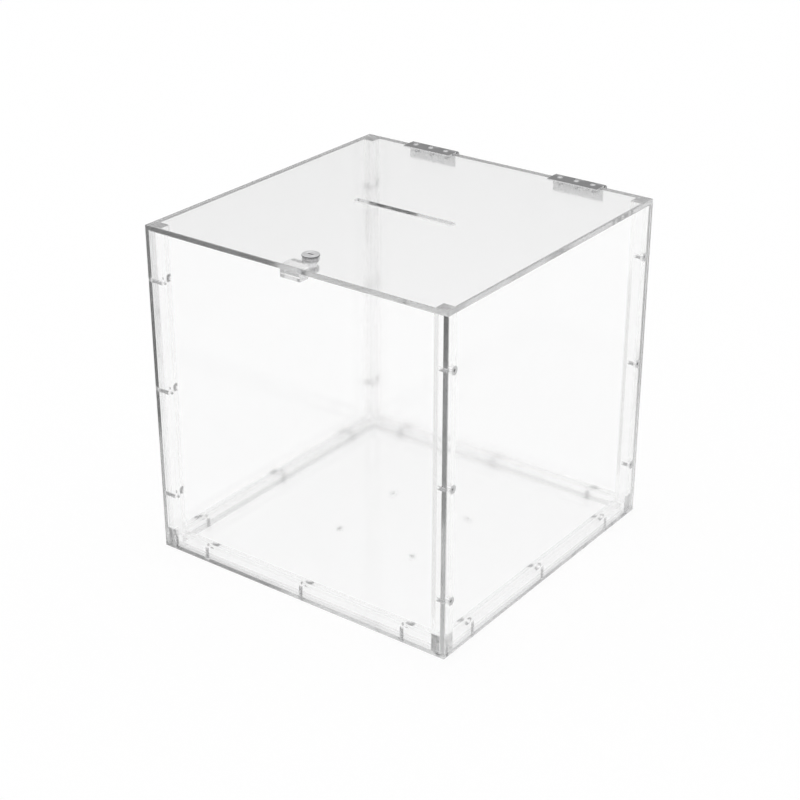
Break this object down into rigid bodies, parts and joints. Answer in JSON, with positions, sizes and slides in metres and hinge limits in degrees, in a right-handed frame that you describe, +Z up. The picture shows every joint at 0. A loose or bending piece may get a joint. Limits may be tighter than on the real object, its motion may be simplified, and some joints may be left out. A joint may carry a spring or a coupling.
{
  "type": "donation box",
  "caption": "Clear acrylic donation box of screwed sheets and corner posts, with a hinged lid, a money slot and a cam lock.",
  "frame": {"origin": "middle of the base's underside", "axes": "+Z up, -Y the front with the lock, +Y the hinged back, +X to the right seen from the front"},
  "size_m": [0.3, 0.3044, 0.3026],
  "materials": {
    "clear_acrylic": "clear, polished",
    "hinge_steel": "polished steel",
    "screw_steel": "zinc plated",
    "lock_chrome": "chrome plated",
    "lock_steel": "zinc plated"
  },
  "bodies": {
    "box": {"base_panel": "clear_acrylic", "front_panel": "clear_acrylic", "back_panel": "clear_acrylic", "left_panel": "clear_acrylic", "right_panel": "clear_acrylic", "corner_post_front_left": "clear_acrylic", "corner_post_front_right": "clear_acrylic", "corner_post_back_left": "clear_acrylic", "corner_post_back_right": "clear_acrylic", "bottom_cleat_front": "clear_acrylic", "bottom_cleat_back": "clear_acrylic", "bottom_cleat_left": "clear_acrylic", "bottom_cleat_right": "clear_acrylic", "catch_block": "clear_acrylic", "left_wall_screws": "screw_steel", "right_wall_screws": "screw_steel", "base_screws": "screw_steel", "hinge_back_leaf_left": "hinge_steel", "hinge_back_leaf_right": "hinge_steel", "hinge_pin_left": "hinge_steel", "hinge_pin_right": "hinge_steel", "hinge_back_screws": "screw_steel"},
    "lid": {"lid_panel": "clear_acrylic", "hinge_lid_leaf_left": "hinge_steel", "hinge_lid_leaf_right": "hinge_steel", "hinge_lid_screws": "screw_steel", "lock_body": "lock_chrome", "lock_nut": "lock_steel"},
    "lock": {"lock_plug": "lock_chrome", "lock_cam": "lock_steel", "cam_screw": "screw_steel"}
  },
  "joints": [
    {"name": "lid_hinge", "type": "hinge", "parent": "box", "child": "lid", "pos_m": [0, 0.1522, 0.299], "axis": [-1, 0, 0], "range_deg": [0, 225]},
    {"name": "lock_turn", "type": "hinge", "parent": "lid", "child": "lock", "pos_m": [0, -0.122, 0.286], "axis": [0, 0, 1], "range_deg": [0, 90]}
  ]
}
